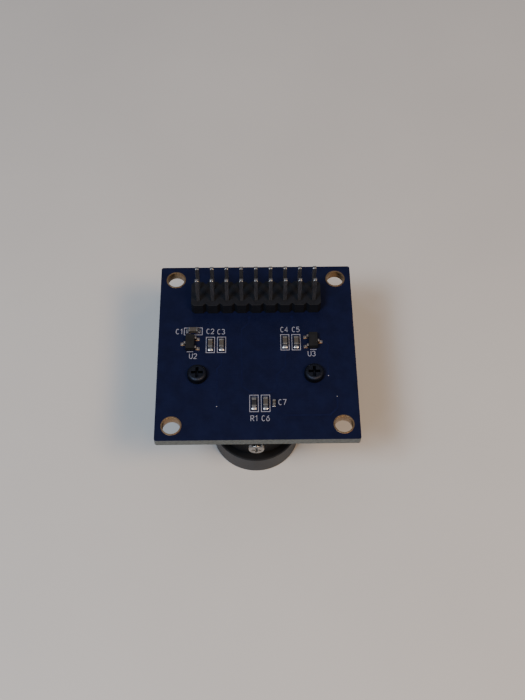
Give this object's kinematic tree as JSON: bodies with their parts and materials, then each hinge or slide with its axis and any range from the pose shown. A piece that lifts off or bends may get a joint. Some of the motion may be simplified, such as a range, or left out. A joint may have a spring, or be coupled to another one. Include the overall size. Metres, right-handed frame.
{
  "type": "camera module",
  "caption": "Small camera module: square circuit board with a two-row pin header on one face and a focusing screw-in lens in a plastic holder on the other.",
  "frame": {"origin": "middle of the four mounting holes, on the board's pin-side face", "axes": "+X along the pin header, +Y towards the board's header edge, +Z out of the pin side; the lens looks along -Z"},
  "size_m": [0.0342, 0.035, 0.0305],
  "materials": {
    "solder_mask": "dark blue solder mask over glass-fibre laminate, satin gloss",
    "hole_plating": "thin gold flash, slightly worn",
    "header_plastic": "moulded black, satin",
    "pin_metal": "tinned brass, drawn and cut",
    "solder": "bright solder",
    "chip_ceramic": "matte brown ceramic",
    "chip_metal": "tinned ends",
    "resistor_film": "black glaze",
    "mould_compound": "matte black epoxy",
    "holder_plastic": "fine-grained black moulding",
    "black_steel": "black oxide steel",
    "bright_steel": "nickel-plated steel",
    "lens_black": "black anodised, turned",
    "lens_glass": "coated optical glass",
    "filter_glass": "infrared filter glass, pink sheen",
    "silicon": "dark polished silicon",
    "marking_ink": "screen-printed pale grey ink"
  },
  "bodies": {
    "module": {"circuit_board": "solder_mask", "hole_plating": "hole_plating", "header_body": "header_plastic", "header_pins": "pin_metal", "header_solder": "solder", "capacitor_bodies": "chip_ceramic", "capacitor_ends": "chip_metal", "resistor_body": "resistor_film", "resistor_ends": "chip_metal", "regulator_u2": "mould_compound", "regulator_u3": "mould_compound", "regulator_leads": "chip_metal", "component_pads": "hole_plating", "component_solder": "solder", "sensor_solder_balls": "solder", "image_sensor": "silicon", "sensor_cover_glass": "lens_glass", "lens_holder": "holder_plastic", "ir_filter": "filter_glass", "holder_screws": "black_steel"},
    "optics": {"front_glass": "lens_glass", "front_spacer": "lens_black", "middle_glass": "lens_glass", "middle_spacer": "lens_black", "aperture_stop": "lens_black", "rear_spacer": "lens_black", "hollow_glass": "lens_glass", "rear_glass": "lens_glass"},
    "barrel": {"lens_barrel": "lens_black", "lens_retaining_ring": "lens_black"},
    "lock": {"lock_screw": "bright_steel"}
  },
  "joints": [
    {"name": "focus_travel", "type": "slide", "parent": "module", "child": "optics", "axis": [0, 0, 1], "range_m": [-0.0015, 0.00095]},
    {"name": "focus_turn", "type": "hinge", "parent": "optics", "child": "barrel", "pos_m": [-0.0002, -0.0052, -0.022], "axis": [0, 0, 1], "range_deg": [-1080.5, 684.5]},
    {"name": "lock_screw_travel", "type": "slide", "parent": "module", "child": "lock", "axis": [0, -1, 0], "range_m": [0, 0.0014]}
  ],
  "couplings": [
    {"joint": "focus_turn", "follows": "focus_travel", "rad_per_m": 12566}
  ]
}
